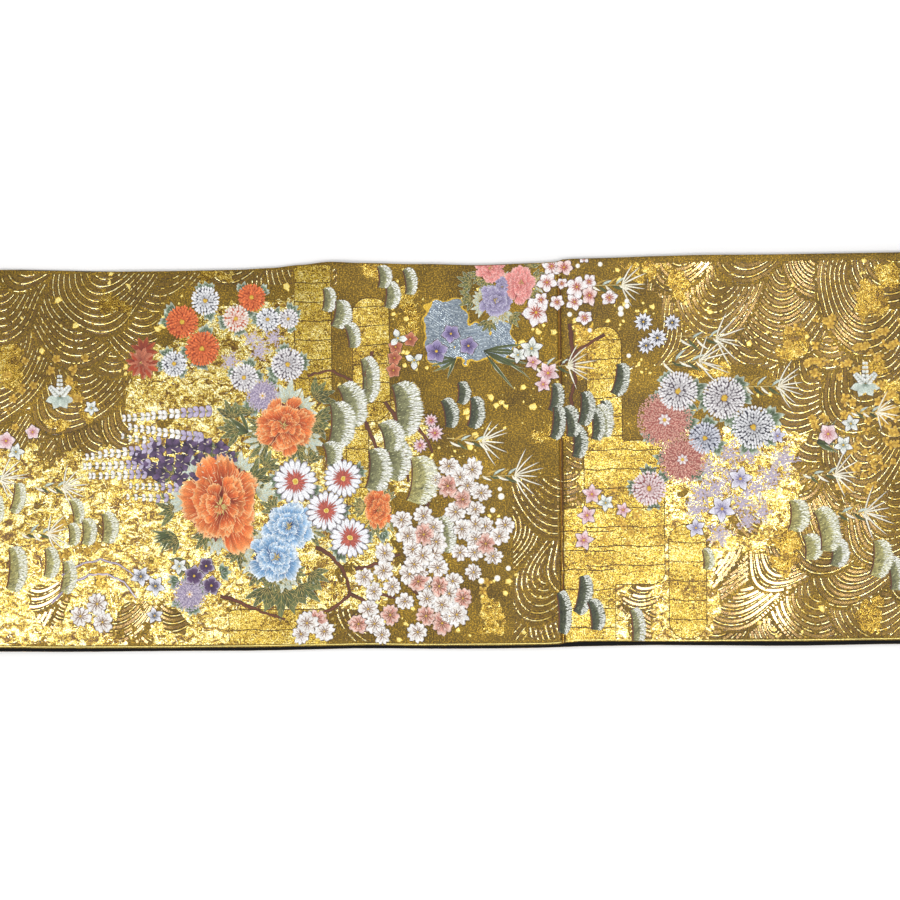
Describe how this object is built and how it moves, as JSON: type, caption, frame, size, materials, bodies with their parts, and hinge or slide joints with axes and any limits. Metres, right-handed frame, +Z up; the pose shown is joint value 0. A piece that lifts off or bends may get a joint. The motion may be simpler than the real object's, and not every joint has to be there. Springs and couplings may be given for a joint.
{
  "type": "folded obi sash",
  "caption": "Long brocade sash with a plain black reverse, folded end to end into a flat packet and laid face up.",
  "frame": {"origin": "on the surface that the folded sash rests on, under the storage crease across its middle", "axes": "+X along the sash, from its outer folded end to its free ends; +Y across it; +Z up, out of its face"},
  "size_m": [1.075, 0.3157, 0.0131],
  "materials": {
    "face_brocade": "gold-thread brocade, soft metallic sheen",
    "back_satin": "plain black, low sheen"
  },
  "bodies": {
    "root": {"face_cloth": "face_brocade", "back_cloth": "back_satin", "folded_plies": "back_satin"}
  },
  "joints": []
}
